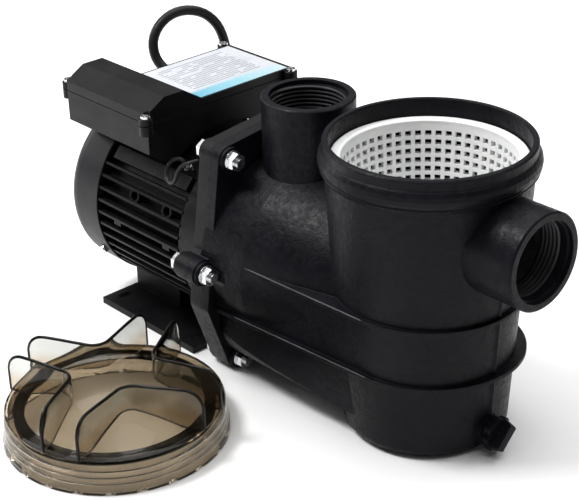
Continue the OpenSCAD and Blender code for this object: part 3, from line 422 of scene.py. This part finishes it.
def build_materials():
    """Every finish under the record's slot name, and three more that carry painted light and shade: the
    dark outline of the lid's walls, the highlight beads on the rib edges and the lighter, glossy threads.
    """
    return {
        "body_plastic": mottled_body(),
        "frame_paint": moulded("frame_paint", (0.003, 0.003, 0.004), (0.007, 0.007, 0.008),
                               (0.35, 0.5), 700, 0.0001),
        "cover_steel": moulded("cover_paint", (0.016, 0.016, 0.018), (0.024, 0.024, 0.026),
                               (0.36, 0.44), 900, 0.00003),
        "box_plastic": moulded("box_plastic", (0.004, 0.004, 0.005), (0.009, 0.009, 0.010),
                               (0.34, 0.46), 800, 0.0001),
        "clear_lid": clear_plastic(),
        # Painted shade: a near-black, glossy finish for the tubes that paint the dark outline of the lid's
        # grip walls.
        "lid_painted_outline": moulded("painted_dark_outline", (0.005, 0.005, 0.004), (0.010, 0.009, 0.008),
                            (0.05, 0.1), 400, 0.00002),
        # Painted highlight: a light grey, glossy finish for the beads that stand in for the shine along the
        # side ribs' edges.
        "painted_rib_highlight": moulded("painted_rib_highlight", (0.05, 0.05, 0.052), (0.11, 0.11, 0.115),
                            (0.15, 0.3), 500, 0.00003),
        # Lighter than the body's plastic: a painted highlight on the thread ridges inside the ports; the
        # lower roughness is their real gloss.
        "thread_gloss_and_painted_highlight": moulded("thread_gloss_and_painted_highlight", (0.026, 0.026, 0.029), (0.045, 0.045, 0.049),
                               (0.16, 0.28), 500, 0.00004),
        "basket_white": white_basket(),
        "rubber_black": moulded("seal_rubber", (0.008, 0.008, 0.008), (0.016, 0.016, 0.016),
                                (0.45, 0.6), 500, 0.00006),
        "chrome_steel": metal("plated_steel", (0.66, 0.67, 0.69), (0.84, 0.85, 0.87),
                              (0.12, 0.26), depth=0.000004),
        "bare_steel": metal("ground_steel", (0.42, 0.43, 0.45), (0.62, 0.63, 0.65),
                            (0.22, 0.4), (0.1, 1, 1)),
        "lamination": laminated_steel(),
        "copper": wound_copper(),
        "alloy": metal("cast_alloy", (0.5, 0.51, 0.52), (0.7, 0.71, 0.72), (0.35, 0.55), depth=0.0001),
        "ceramic": moulded("seal_ceramic", (0.70, 0.68, 0.62), (0.80, 0.78, 0.72),
                           (0.15, 0.25), 300, 0.00002),
        "impeller_resin": moulded("impeller_resin", (0.42, 0.41, 0.37), (0.55, 0.54, 0.50),
                                  (0.35, 0.5), 500, 0.0001),
        "diffuser_resin": moulded("diffuser_resin", (0.03, 0.03, 0.033), (0.06, 0.06, 0.065),
                                  (0.35, 0.5), 500, 0.0001),
        "label_film": printed_label(),
        "terminal_resin": moulded("terminal_resin", (0.62, 0.59, 0.48), (0.74, 0.71, 0.60),
                                  (0.3, 0.45), 400, 0.00006),
        "capacitor_shell": moulded("capacitor_shell", (0.6, 0.6, 0.62), (0.72, 0.72, 0.74),
                                   (0.25, 0.4), 300, 0.00005),
        "cord_jacket": moulded("cord_rubber", (0.010, 0.010, 0.011), (0.020, 0.020, 0.022),
                               (0.3, 0.42), 500, 0.00008),
        "tie_plastic": moulded("tie_nylon", (0.62, 0.61, 0.57), (0.74, 0.73, 0.69),
                               (0.3, 0.45), 400, 0.00005),
        "plug_plastic": moulded("plug_rubber", (0.010, 0.010, 0.011), (0.020, 0.020, 0.022),
                                (0.3, 0.45), 400, 0.00008),
        "brass_pin": metal("pin_brass", (0.55, 0.40, 0.15), (0.72, 0.55, 0.24), (0.18, 0.3)),
        "wire_jacket": moulded("wire_jacket", (0.018, 0.018, 0.02), (0.03, 0.03, 0.032),
                               (0.25, 0.35), 500, 0.00003),
    }


def paint_frame(materials):
    for part in frame["record"]["subparts"]:
        node = frame["nodes"][part["node"]]
        node.data.materials.clear()
        node.data.materials.append(materials[part["material_slot"]])
        node.data.shade_smooth()
        node.data.set_sharp_from_angle(angle=math.radians(22))


# ---------- cord ----------

# The stretch that isn't coiled, in millimetres: out of the gland, over a free loop, to the coil.
ROUTE = [
    (-68, 38, 182), (-78, 37, 183), (-88, 34, 187), (-97, 32, 196), (-102, 34, 209),
    (-103, 42, 221), (-101, 55, 229), (-98, 71, 230), (-94, 87, 224), (-90, 98, 212),
    (-88, 104, 196), (-87, 106, 178), (-87, 107, 150), (-87, 108, 120), (-87, 109, 90),
    (-86, 110, 60), (-83, 111, 38), (-76, 112, 20), (-63, 113, 8), (-46, 113.5, 4.6),
    (-25, 113.5, 4.6), (0, 113.5, 4.6), (20, 113.5, 4.6), (42, 113.5, 4.6),
]
TAIL = [
    (42, 113.5, 13.6), (54, 113.5, 12.8), (66, 113.6, 11), (78, 114, 9.2), (90, 114.6, 8),
    (102, 115.4, 7.6), (112, 116, 7.5),
]
COIL_CENTRE = (42, 168)
COIL_OUTER = 54.5
COIL_INNER = 45.5
COIL_LOW = 4.6
COIL_LAYER = 9


def coil_turns():
    """Three turns: outer and inner below, then inner and outer on top of them."""
    points = []
    for degrees in range(-75, 990, 15):
        radius = COIL_OUTER - (COIL_OUTER - COIL_INNER) * ease(190, 258, degrees)
        radius += (COIL_OUTER - COIL_INNER) * ease(790, 860, degrees)
        height = COIL_LOW + COIL_LAYER * ease(500, 570, degrees)
        angle = math.radians(degrees)
        points.append((
            COIL_CENTRE[0] + radius * math.cos(angle),
            COIL_CENTRE[1] + radius * math.sin(angle),
            height,
        ))
    return points


def add_cord(materials):
    """The mains cord as one curve: its free loop, the coil and the tail to the plug."""
    points = [Vector(p) * MM for p in ROUTE + coil_turns() + TAIL]
    path = smooth_path(points, 3)
    curve = bpy.data.curves.new("mains_cord", "CURVE")
    curve.dimensions = "3D"
    curve.bevel_depth = CORD_D / 2
    curve.bevel_resolution = 5
    curve.use_fill_caps = True
    spline = curve.splines.new("POLY")
    spline.points.add(len(path) - 1)
    for point, place in zip(spline.points, path):
        point.co = (*place, 1)
    spline.use_smooth = True
    curve.materials.append(materials["cord_jacket"])
    cord = bpy.data.objects.new("mains_cord", curve)
    bpy.context.scene.collection.objects.link(cord)
    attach(cord, "pump")
    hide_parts("power_cord", "cord_coil", "cord_tail")
    add_boot(path, materials)


def add_boot(path, materials):
    """The tapered, ribbed rubber sleeve where the cord leaves its gland."""
    reach, near_r, far_r = 24 * MM, 7.4 * MM, 5.1 * MM
    rib_depth, rib_pitch = 0.35 * MM, 4 * MM
    sides = 20
    verts, gone = [], 0.0
    for i in range(len(path) - 1):
        rib = rib_depth * math.cos(gone / rib_pitch * 2 * math.pi)
        radius = near_r - (near_r - far_r) * gone / reach + rib
        along = (path[i + 1] - path[max(i - 1, 0)]).normalized()
        side = along.cross(Vector((0, 0, 1))).normalized()
        verts += circle(path[i], side, side.cross(along), radius, sides)
        gone += (path[i + 1] - path[i]).length
        if gone > reach:
            break
    faces = skin(len(verts) // sides, sides)
    new_piece("cord_boot", verts, faces, "pump", materials["rubber_black"], 60)


# ---------- earth wire ----------

WIRE_R = 1.6 * MM
# Out of the box's wall, down in a slack S, and up to the screw on the bracket, in millimetres.
WIRE_ROUTE = [
    (46, -54, 166), (44, -57, 169), (40, -61, 168), (37, -64, 163), (38, -67, 157), (42, -69, 153),
    (48, -70, 153), (53, -70, 157), (55, -69, 164), (58, -66, 170), (63, -62, 173), (66, -56, 174),
]


def add_wire(materials):
    path = smooth_path([Vector(p) * MM for p in WIRE_ROUTE], 5)
    verts, faces = tube(path, WIRE_R)
    wire = new_piece("earth_lead", verts, faces, "pump", materials["wire_jacket"], 60)
    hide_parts("earth_wire")


# ---------- port threads ----------

def add_thread(name, place, material):
    """A helical ridge on the inside of a port; place maps its own +Z axis into the frame."""
    turns, pitch, ridge = 5.6, 3.4 * MM, 1.2 * MM
    per_turn, run_out = 72, 10
    # How deep, in ridge heights with the inside below zero, and how far along, in pitches.
    section = [(0.6, -0.5), (-1.0, -0.14), (-1.0, 0.14), (0.6, 0.5)]
    total = int(turns * per_turn)
    verts = []
    for i in range(total + 1):
        angle = 2 * math.pi * i / per_turn
        fade = ease(0, run_out, i) * ease(0, run_out, total - i)
        for depth, along in section:
            r = BORE_R + depth * ridge * (fade if depth < 0 else 1)
            z = pitch * (i / per_turn + along)
            verts.append(place(Vector((r * math.cos(angle), r * math.sin(angle), z))))
    faces = skin(total + 1, len(section))
    new_piece(name, verts, faces, "pump", material, 30)


def add_port_threads(materials):
    discharge_start, suction_start = 24 * MM, 29 * MM

    def into_discharge(p):
        return Vector((DISCHARGE_X + p.x, p.y, DISCHARGE_TOP - discharge_start + p.z))

    def into_suction(p):
        return Vector((SUCTION_FACE - suction_start + p.z, p.x, SUCTION_Z + p.y))

    # The threads get a lighter finish than the body, a painted highlight.
    add_thread("discharge_thread", into_discharge, materials["thread_gloss_and_painted_highlight"])
    add_thread("suction_thread", into_suction, materials["thread_gloss_and_painted_highlight"])


# ---------- mould seam ----------

def add_seam(materials):
    """The parting edge down the pot under the suction port: a low ridge that follows the pot's taper."""
    low_z, high_z, steps = 30 * MM, 134 * MM, 12
    low_r, flare, taper_height = 64 * MM, 12.5 * MM, 214 * MM
    # Across the seam, and out from the pot's wall.
    section = [(-2.4 * MM, -0.8 * MM), (-0.2 * MM, 1.3 * MM), (0.8 * MM, 1.1 * MM), (1.6 * MM, -0.8 * MM)]
    verts = []
    for i in range(steps + 1):
        z = low_z + (high_z - low_z) * i / steps
        wall = low_r + flare * z / taper_height
        for y, out in section:
            verts.append(POT + Vector((wall + out, y, z)))
    faces = skin(steps + 1, len(section))
    new_piece("mould_seam", verts, faces, "pump", materials["body_plastic"], 30)


# ---------- rib edge highlights, painted as light beads ---

def add_painted_rib_highlights(materials):
    """Thin light-grey beads on the edges of the two side ribs, a painted highlight of their glossy edges,
    from clear of the bolts to the pot's round.
    """
    # A rib's straight edge runs from this corner to where it touches the pot's round.
    corner_x, corner_y = 97 * MM, 82 * MM
    start_x, steps = 131 * MM, 12
    inset, lift, bead_r = 0.1 * MM, 2.7 * MM, 0.5 * MM
    reach = POT.x - corner_x
    verts, faces = [], []
    for z, pot_r in ((113 * MM, 74 * MM), (64 * MM, 71 * MM)):
        touch = math.pi - math.atan2(corner_y, reach) - math.acos(pot_r / math.hypot(reach, corner_y))
        end_x, end_y = POT.x + pot_r * math.cos(touch), pot_r * math.sin(touch)
        slope = (end_y - corner_y) / (end_x - corner_x)
        for side in (-1, 1):
            path = []
            for k in range(steps + 1):
                x = start_x + (end_x - start_x) * k / steps
                y = corner_y + slope * (x - corner_x) - inset
                path.append(Vector((x, side * y, z + lift)))
            join(verts, faces, tube(path, bead_r, 8))
    # The beads are painted highlights, much lighter than the black body they sit on.
    new_piece("painted_rib_highlights", verts, faces, "pump", materials["painted_rib_highlight"], 60)


# ---------- strainer basket ----------

def add_basket(materials):
    """The basket with its rows of rectangular holes, a plain band at the top and a slotted floor."""
    low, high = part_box("strainer_basket")
    lip_r = (high.x - low.x) / 2
    lip_t = 3 * MM
    top = high.z - lip_t
    bottom = low.z
    top_r, low_r, wall = 68.5 * MM, 60.5 * MM, 4.2 * MM
    columns, band, low_band = 52, 5.4 * MM, 8 * MM
    row_pitch, hole_h, hole_share = 7.15 * MM, 4.1 * MM, 0.6
    rows = int((top - band - bottom - low_band) / row_pitch)

    def outer(z):
        return low_r + (top_r - low_r) * (z - bottom) / (top - bottom)

    levels = [(top, False)]
    for k in range(rows):
        z = top - band - k * row_pitch
        levels += [(z, True), (z - hole_h, False)]
    levels.append((bottom + wall, False))
    width = 2 * math.pi / columns * hole_share
    angles = []
    for c in range(columns):
        a = 2 * math.pi * c / columns
        angles += [a, a + width]
    n = len(angles)
    verts, faces = [], []

    def corner(level, k, inside):
        return (level * n + k % n) * 2 + inside

    for z, _ in levels:
        for a in angles:
            for inside in (0, 1):
                r = outer(z) - wall * inside
                verts.append(POT + Vector((r * math.cos(a), r * math.sin(a), z)))
    for level, (_, hole_below) in enumerate(levels[:-1]):
        for k in range(n):
            a0, a1 = corner(level, k, 0), corner(level, k + 1, 0)
            b0, b1 = corner(level + 1, k, 0), corner(level + 1, k + 1, 0)
            if hole_below and k % 2 == 0:
                faces += [[a0, a1, a1 + 1, a0 + 1], [b1, b0, b0 + 1, b1 + 1],
                          [b0, a0, a0 + 1, b0 + 1], [a1, b1, b1 + 1, a1 + 1]]
                continue
            faces += [[a0, b0, b1, a1], [a0 + 1, a1 + 1, b1 + 1, b0 + 1]]
    lip = revolve(close_profile([
        (top_r - wall, top), (top_r - 0.02 * MM, top), (lip_r - 0.5 * MM, top), (lip_r, top + 0.5 * MM),
        (lip_r, high.z - 0.8 * MM), (lip_r - 0.8 * MM, high.z), (top_r - wall + 0.8 * MM, high.z),
        (top_r - wall, high.z - 0.8 * MM),
    ]), n, lambda p: POT + p)
    join(verts, faces, lip)
    join(verts, faces, basket_floor(bottom, wall, low_r, columns))
    basket = new_piece("perforated_basket", verts, faces, "basket",
                       materials["basket_white"], 30)
    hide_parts("strainer_basket")


def basket_floor(bottom, wall, low_r, columns):
    """A flat disc with rings of slots, as (vertices, faces). A slot is three columns long, a web one."""
    radii = [low_r] + [r * MM for r in range(54, 11, -6)]
    n = columns
    verts, faces = [], []
    for r in radii:
        for k in range(n):
            a = 2 * math.pi * k / n
            for z in (bottom, bottom + wall):
                verts.append(POT + Vector((r * math.cos(a), r * math.sin(a), z)))
    for ring in range(len(radii) - 1):
        for k in range(n):
            j = (k + 1) % n
            a0, a1 = (ring * n + k) * 2, (ring * n + j) * 2
            b0, b1 = ((ring + 1) * n + k) * 2, ((ring + 1) * n + j) * 2
            if ring % 2 == 1 and k % 4 != 3:
                faces += [[a0, a0 + 1, a1 + 1, a1], [b1, b1 + 1, b0 + 1, b0]]
                if k % 4 == 0:
                    faces.append([b0, b0 + 1, a0 + 1, a0])
                if k % 4 == 2:
                    faces.append([a1, a1 + 1, b1 + 1, b1])
                continue
            faces += [[a0, a1, b1, b0], [a0 + 1, b0 + 1, b1 + 1, a1 + 1]]
    last = (len(radii) - 1) * n * 2
    faces.append([last + 2 * k for k in range(n)])
    faces.append([last + 2 * k + 1 for k in range(n)][::-1])
    faces += [[2 * k, 2 * k + 1, 2 * ((k + 1) % n) + 1, 2 * ((k + 1) % n)] for k in range(n)]
    return verts, faces


# ---------- lid ----------

RIM_Z = 28 * MM
DOME_TOP = 41 * MM
DOME_EDGE = 69 * MM
PLATE = 3.4 * MM
CROWN = 61 * MM
WALL_END = 84.3 * MM
WALL_TURNS = [math.radians(-20 + 90 * k) for k in range(4)]


def dome_height(r):
    """The top of the domed plate at distance r from the lid's axis."""
    rise = DOME_TOP - RIM_Z
    ball = (DOME_EDGE ** 2 + rise ** 2) / (2 * rise)
    return DOME_TOP - ball + math.sqrt(ball ** 2 - r ** 2)


def crown_height(r):
    """The top of a grip wall at distance r from the lid's axis, with a round outer corner."""
    corner, dip, dip_end = 13 * MM, 2 * MM, 30 * MM
    start = WALL_END - corner
    if r < start:
        return CROWN - dip + dip * ease(dip_end, start, r)
    return CROWN - corner + math.sqrt(max(corner ** 2 - (r - start) ** 2, 0))


def add_lid(materials):
    """The clear lid: skirt with inner thread ridges and notched edge, domed plate and grip walls."""
    skirt_r, bore = 88 * MM, 83 * MM
    dome_steps = 12
    radii = [DOME_EDGE * k / dome_steps for k in range(dome_steps + 1)]
    outer = [(r, dome_height(r)) for r in radii]
    rim = [
        (78 * MM, RIM_Z), (82.6 * MM, RIM_Z), (84.4 * MM, RIM_Z - 0.7 * MM),
        (85.3 * MM, RIM_Z - 2.4 * MM), (86.2 * MM, 18 * MM), (86.6 * MM, 12 * MM), (87.3 * MM, 8 * MM),
        (skirt_r, 6 * MM), (skirt_r, 0.6 * MM), (skirt_r - 0.6 * MM, 0), (bore + 0.6 * MM, 0),
        (bore, 0.6 * MM),
    ]
    ridge_start, ridge_pitch, ridge_r = 3.5 * MM, 5.6 * MM, bore - 1.3 * MM
    ridges = []
    for k in range(3):
        z = ridge_start + ridge_pitch * k
        ridges += [(bore, z), (ridge_r, z + 1.4 * MM), (ridge_r, z + 2.2 * MM), (bore, z + 3.8 * MM)]
    under = [(bore, RIM_Z - PLATE - 1 * MM), (bore - 1 * MM, RIM_Z - PLATE), (DOME_EDGE, RIM_Z - PLATE)]
    under += [(r, z - PLATE) for r, z in reversed(outer[:-1])]
    count, notches = 264, 22
    notch_top, notch_rise, notch_depth, notch_share = 5 * MM, 2.4 * MM, 1.5 * MM, 0.26

    def notch(r, z, angle):
        """Small cut-outs along the skirt's lower edge."""
        if z > notch_top or r < bore + 0.3 * MM:
            return r, z
        phase = abs((angle / (2 * math.pi) * notches) % 1 - 0.5) * 2
        cut = 1 - ease(0.0, notch_share, phase)
        return r - notch_depth * cut * (r > bore + 3 * MM), z + notch_rise * cut

    verts, faces = revolve(outer + rim + ridges + under, count, lambda p: LID + p, notch)
    for turn in WALL_TURNS:
        join(verts, faces, grip_wall(turn))
    lid = new_piece("clear_lid", verts, faces, "lid", materials["clear_lid"], 40)
    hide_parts("lid")


def grip_line():
    """The middle line of one grip wall in plan: an arm, a round bend near the lid's axis, an arm."""
    near, bend, lean, arm = 34 * MM, 13 * MM, math.radians(51.2), 51.8 * MM
    arm_steps, arc_steps, crowding = 16, 14, 1.6
    centre = near + bend
    out = math.pi / 2 + lean
    sweep = 2 * math.pi - 2 * out

    def on_bend(angle):
        return Vector((centre + bend * math.cos(angle), bend * math.sin(angle), 0))

    arms = []
    for side in (1, -1):
        start = on_bend(side * out)
        along = Vector((math.cos(lean), side * math.sin(lean), 0))
        shares = [1 - (1 - k / arm_steps) ** crowding for k in range(1, arm_steps + 1)]
        arms.append([start + along * arm * share for share in shares])
    arc = [on_bend(out + sweep * k / arc_steps) for k in range(arc_steps + 1)]
    return arms[0][::-1] + arc + arms[1]


def grip_wall(turn):
    """One bent wall that stands on the dome, with a rounded top edge, as (vertices, faces)."""
    half, shoulder, sunk = 1.5 * MM, 0.8, 0.25 * MM
    line = grip_line()
    # Place across the wall in half thicknesses, and height as a share; None follows the round top.
    section = [(-1, 0), (-1, 0.35), (-1, shoulder), (-0.92, None), (-0.7, None), (-0.4, None), (0, None),
               (0.4, None), (0.7, None), (0.92, None), (1, shoulder), (1, 0.35), (1, 0)]
    verts = []
    for i, p in enumerate(line):
        ahead = line[min(i + 1, len(line) - 1)] - line[max(i - 1, 0)]
        normal = Vector((-ahead.y, ahead.x, 0)).normalized()
        floor = dome_height(min(p.length, DOME_EDGE)) - sunk
        top = crown_height(p.length)
        for across, share in section:
            q = p + normal * half * across
            if share is None:
                z = top - half + math.sqrt(max(half ** 2 - (half * across) ** 2, 0))
            else:
                z = floor + (top - half - floor) * share / shoulder
            verts.append(LID + Matrix.Rotation(turn, 3, "Z") @ Vector((q.x, q.y, z)))
    return verts, skin(len(line), len(section))


def painted_outline_path():
    """The path of a painted dark outline: up one end of a grip wall, along its crown and down the other
    end.
    """
    sunk, foot_z, steps = 0.9 * MM, RIM_Z + 0.6 * MM, 6
    crown = [Vector((p.x, p.y, crown_height(p.length) - sunk)) for p in grip_line()]

    def down(top):
        return [Vector((top.x, top.y, top.z + (foot_z - top.z) * j / steps)) for j in range(1, steps + 1)]

    return down(crown[0])[::-1] + crown + down(crown[-1])


def add_painted_wall_outlines(materials):
    """Near-black tubes along the grip walls' edges, painted shade where the tinted sheet is seen end on and
    looks dark.
    """
    verts, faces = [], []
    for turn in WALL_TURNS:
        path = [LID + Matrix.Rotation(turn, 3, "Z") @ p for p in painted_outline_path()]
        join(verts, faces, tube(path, 1.2 * MM, 10))
    new_piece("lid_wall_painted_outlines", verts, faces, "lid", materials["lid_painted_outline"], 60)


# ---------- studio ----------

def add_studio():
    """A white floor in a dim white world, a broad sun overhead and two square lamps."""
    half = 12
    corners = [(-half, -half, 0), (half, -half, 0), (half, half, 0), (-half, half, 0)]
    mesh = bpy.data.meshes.new("floor")
    mesh.from_pydata(corners, [], [[0, 1, 2, 3]])
    floor = bpy.data.objects.new("floor", mesh)
    bpy.context.scene.collection.objects.link(floor)
    s = Shader("studio_floor")
    s.colour(s.ramp(s.noise(2, 2), [(0.3, (0.90, 0.90, 0.90)), (0.7, (0.92, 0.92, 0.92))]))
    s.set(Roughness=0.6, Specular_IOR_Level=0.2)
    floor.data.materials.append(s.material)
    world = bpy.data.worlds.new("studio")
    world.use_nodes = True
    background = world.node_tree.nodes["Background"]
    background.inputs["Color"].default_value = (1, 1, 1, 1)
    background.inputs["Strength"].default_value = 0.12
    bpy.context.scene.world = world
    bpy.context.scene.view_settings.view_transform = "Standard"
    sun = bpy.data.lights.new("overhead", "SUN")
    sun.energy = 3.4
    sun.angle = math.radians(80)
    above = bpy.data.objects.new("overhead", sun)
    above.rotation_euler = (math.radians(-12), math.radians(-8), 0)
    bpy.context.scene.collection.objects.link(above)
    target = Vector((0.14, 0, 0.12))
    key_place = target + Vector((-0.33, -0.42, 0.84)) * 1.4
    add_light("key", key_place, target, size=0.36, power=13)
    add_light("left_strip", Vector((-1.3, -0.5, 0.7)), target, size=0.6, power=6)


def add_light(name, place, target, size, power):
    data = bpy.data.lights.new(name, "AREA")
    data.shape = "SQUARE"
    data.size = size
    data.energy = power
    light = bpy.data.objects.new(name, data)
    light.matrix_world = (target - place).to_track_quat("-Z", "Y").to_matrix().to_4x4()
    light.location = place
    bpy.context.scene.collection.objects.link(light)


add_camera()
palette = build_materials()
add_cord(palette)
paint_frame(palette)
add_wire(palette)
add_port_threads(palette)
add_seam(palette)
add_painted_rib_highlights(palette)
add_basket(palette)
add_lid(palette)
add_painted_wall_outlines(palette)
add_studio()
